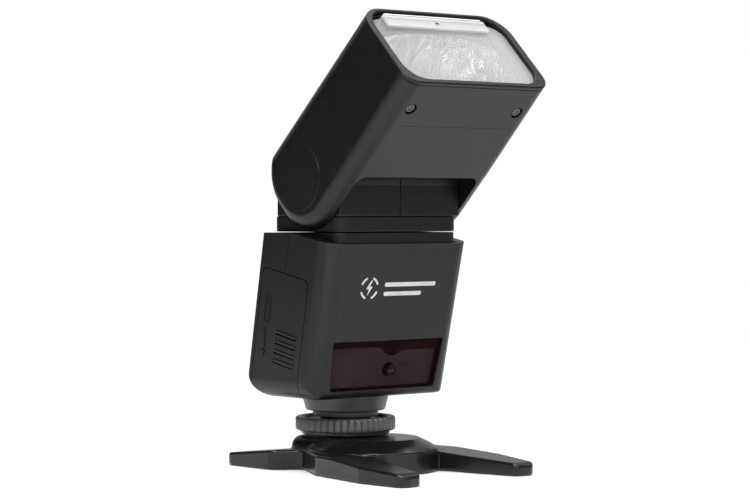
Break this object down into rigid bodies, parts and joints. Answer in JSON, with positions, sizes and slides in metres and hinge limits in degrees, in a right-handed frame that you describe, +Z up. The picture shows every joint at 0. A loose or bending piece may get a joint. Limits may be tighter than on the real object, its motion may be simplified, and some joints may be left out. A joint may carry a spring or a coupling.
{
  "type": "speedlight flash",
  "caption": "Shoe-mount electronic flash with a tilting, swivelling zoom head, rear control panel and side battery door, on a low four-legged mini stand.",
  "frame": {"origin": "on the foot's axis at the stand's underside, the mouth of the tripod thread", "axes": "+Z up; the red window and the lamp face -Y; the battery door is on the -X side"},
  "size_m": [0.0638, 0.0978, 0.1509],
  "materials": {
    "case_plastic": "fine moulded grain, satin",
    "stand_plastic": "smooth satin",
    "knurled_plastic": "satin",
    "red_window": "polished, dark red",
    "clear_lens": "clear, finely ribbed",
    "diffuser": "translucent, prismatic",
    "white_card": "smooth",
    "bright_steel": "machined",
    "contact_metal": "plated",
    "brass": "machined",
    "dark_insulator": "moulded",
    "soft_rubber": "matte",
    "key_plastic": "satin",
    "lamp_key": "translucent",
    "display_glass": "polished",
    "display_grey": "smooth",
    "circuit_board": "solder mask",
    "cell_jacket": "foil label",
    "capacitor_sleeve": "shrink sleeve",
    "transformer_core": "tape",
    "mirror_reflector": "polished",
    "tube_glass": "clear"
  },
  "bodies": {
    "stand": {"stand_base": "stand_plastic", "thread_insert": "brass"},
    "flash": {"shoe_foot": "bright_steel", "contact_plate": "dark_insulator", "shoe_contacts": "contact_metal", "foot_neck": "case_plastic", "foot_screws": "bright_steel", "front_shell": "case_plastic", "rear_shell": "case_plastic", "front_window": "red_window", "focus_lamp_lens": "clear_lens", "display_window": "display_glass", "display_module": "display_grey", "control_board": "circuit_board", "battery_tray": "dark_insulator", "battery_cells": "cell_jacket", "battery_contacts": "contact_metal", "flash_capacitor": "capacitor_sleeve", "main_board": "circuit_board", "charging_transformer": "transformer_core", "usb_socket": "bright_steel", "case_screws": "bright_steel", "swivel_seat": "case_plastic"},
    "lock_wheel": {"lock_wheel": "knurled_plastic"},
    "lock_pin": {"lock_pin": "bright_steel"},
    "door_slider": {"door_slider": "bright_steel"},
    "battery_door": {"battery_door": "case_plastic"},
    "usb_cover": {"usb_cover": "soft_rubber"},
    "swivel": {"swivel_hub": "case_plastic", "swivel_washer": "bright_steel", "neck_left": "case_plastic", "neck_right": "case_plastic"},
    "head": {"head_upper_shell": "case_plastic", "head_lower_shell": "case_plastic", "hinge_cap_left": "case_plastic", "hinge_cap_right": "case_plastic", "tilt_axle_left": "bright_steel", "tilt_axle_right": "bright_steel", "head_screws": "bright_steel", "front_bezel": "case_plastic", "front_lens": "clear_lens", "zoom_motor": "bright_steel", "guide_rod": "bright_steel"},
    "wide_panel": {"wide_panel": "diffuser"},
    "bounce_card": {"bounce_card": "white_card"},
    "zoom_carriage": {"zoom_carriage": "dark_insulator", "reflector": "mirror_reflector", "flash_tube": "tube_glass"},
    "zoom_screw": {"zoom_screw": "bright_steel"},
    "select_dial": {"select_dial": "key_plastic"},
    "power_switch": {"power_switch": "key_plastic"},
    "function_key_1": {"function_key_1": "key_plastic"},
    "function_key_2": {"function_key_2": "key_plastic"},
    "function_key_3": {"function_key_3": "key_plastic"},
    "function_key_4": {"function_key_4": "key_plastic"},
    "mode_button": {"mode_button": "key_plastic"},
    "slave_button": {"slave_button": "key_plastic"},
    "test_button": {"test_button": "lamp_key"},
    "set_button": {"set_button": "key_plastic"}
  },
  "joints": [
    {"name": "foot_slide", "type": "slide", "parent": "stand", "child": "flash", "axis": [0, 1, 0], "range_m": [0, 0.019]},
    {"name": "lock_wheel_turn", "type": "hinge", "parent": "flash", "child": "lock_wheel", "pos_m": [0, 0, 0.0142], "axis": [0, 0, 1], "range_deg": [-270, 0]},
    {"name": "lock_pin_lift", "type": "slide", "parent": "flash", "child": "lock_pin", "axis": [0, 0, 1], "range_m": [0, 0.0016]},
    {"name": "door_slide", "type": "slide", "parent": "flash", "child": "door_slider", "axis": [0, 0.1908, -0.9816], "range_m": [0, 0.004]},
    {"name": "door_swing", "type": "hinge", "parent": "door_slider", "child": "battery_door", "pos_m": [-0.0242, -0.002, 0.0256], "axis": [0, -1, 0], "range_deg": [0, 80]},
    {"name": "usb_cover_swing", "type": "hinge", "parent": "flash", "child": "usb_cover", "pos_m": [0.03025, -0.00161, 0.06496], "axis": [0, 0.1908, -0.9816], "range_deg": [0, 65]},
    {"name": "function_key_1_press", "type": "slide", "parent": "flash", "child": "function_key_1", "axis": [0, -0.9816, -0.1908], "range_m": [0, 0.0005], "stiffness_N_per_m": 1200, "springref_m": -0.0004},
    {"name": "function_key_2_press", "type": "slide", "parent": "flash", "child": "function_key_2", "axis": [0, -0.9816, -0.1908], "range_m": [0, 0.0005], "stiffness_N_per_m": 1200, "springref_m": -0.0004},
    {"name": "function_key_3_press", "type": "slide", "parent": "flash", "child": "function_key_3", "axis": [0, -0.9816, -0.1908], "range_m": [0, 0.0005], "stiffness_N_per_m": 1200, "springref_m": -0.0004},
    {"name": "function_key_4_press", "type": "slide", "parent": "flash", "child": "function_key_4", "axis": [0, -0.9816, -0.1908], "range_m": [0, 0.0005], "stiffness_N_per_m": 1200, "springref_m": -0.0004},
    {"name": "mode_button_press", "type": "slide", "parent": "flash", "child": "mode_button", "axis": [0, -0.9816, -0.1908], "range_m": [0, 0.0005], "stiffness_N_per_m": 1200, "springref_m": -0.0004},
    {"name": "slave_button_press", "type": "slide", "parent": "flash", "child": "slave_button", "axis": [0, -0.9816, -0.1908], "range_m": [0, 0.0005], "stiffness_N_per_m": 1200, "springref_m": -0.0004},
    {"name": "test_button_press", "type": "slide", "parent": "flash", "child": "test_button", "axis": [0, -0.9816, -0.1908], "range_m": [0, 0.0005], "stiffness_N_per_m": 1200, "springref_m": -0.0004},
    {"name": "set_button_press", "type": "slide", "parent": "flash", "child": "set_button", "axis": [0, -0.9816, -0.1908], "range_m": [0, 0.0005], "stiffness_N_per_m": 1200, "springref_m": -0.0004},
    {"name": "dial_turn", "type": "hinge", "parent": "flash", "child": "select_dial", "pos_m": [0, 0.01306, 0.04244], "axis": [0, 0.9816, 0.1908], "continuous": true},
    {"name": "power_switch_slide", "type": "slide", "parent": "flash", "child": "power_switch", "axis": [1, 0, 0], "range_m": [0, 0.004]},
    {"name": "head_swivel", "type": "hinge", "parent": "flash", "child": "swivel", "pos_m": [0, -0.0125, 0.0793], "axis": [0, 0, 1], "range_deg": [-90, 180]},
    {"name": "head_tilt", "type": "hinge", "parent": "swivel", "child": "head", "pos_m": [0, -0.0132, 0.0972], "axis": [-1, 0, 0], "range_deg": [-45, 45]},
    {"name": "wide_panel_slide", "type": "slide", "parent": "head", "child": "wide_panel", "axis": [0, -0.7071, 0.7071], "range_m": [0, 0.034]},
    {"name": "bounce_card_slide", "type": "slide", "parent": "head", "child": "bounce_card", "axis": [0, -0.7071, 0.7071], "range_m": [0, 0.034]},
    {"name": "zoom_slide", "type": "slide", "parent": "head", "child": "zoom_carriage", "axis": [0, -0.7071, 0.7071], "range_m": [-0.009, 0]},
    {"name": "zoom_screw_turn", "type": "hinge", "parent": "head", "child": "zoom_screw", "pos_m": [0.017, -0.05053, 0.11643], "axis": [0, -0.7071, 0.7071], "range_deg": [0, 1085]}
  ],
  "couplings": [
    {"joint": "lock_pin_lift", "follows": "lock_wheel_turn", "m_per_rad": -0.00032},
    {"joint": "zoom_screw_turn", "follows": "zoom_slide", "rad_per_m": -2094.4}
  ]
}
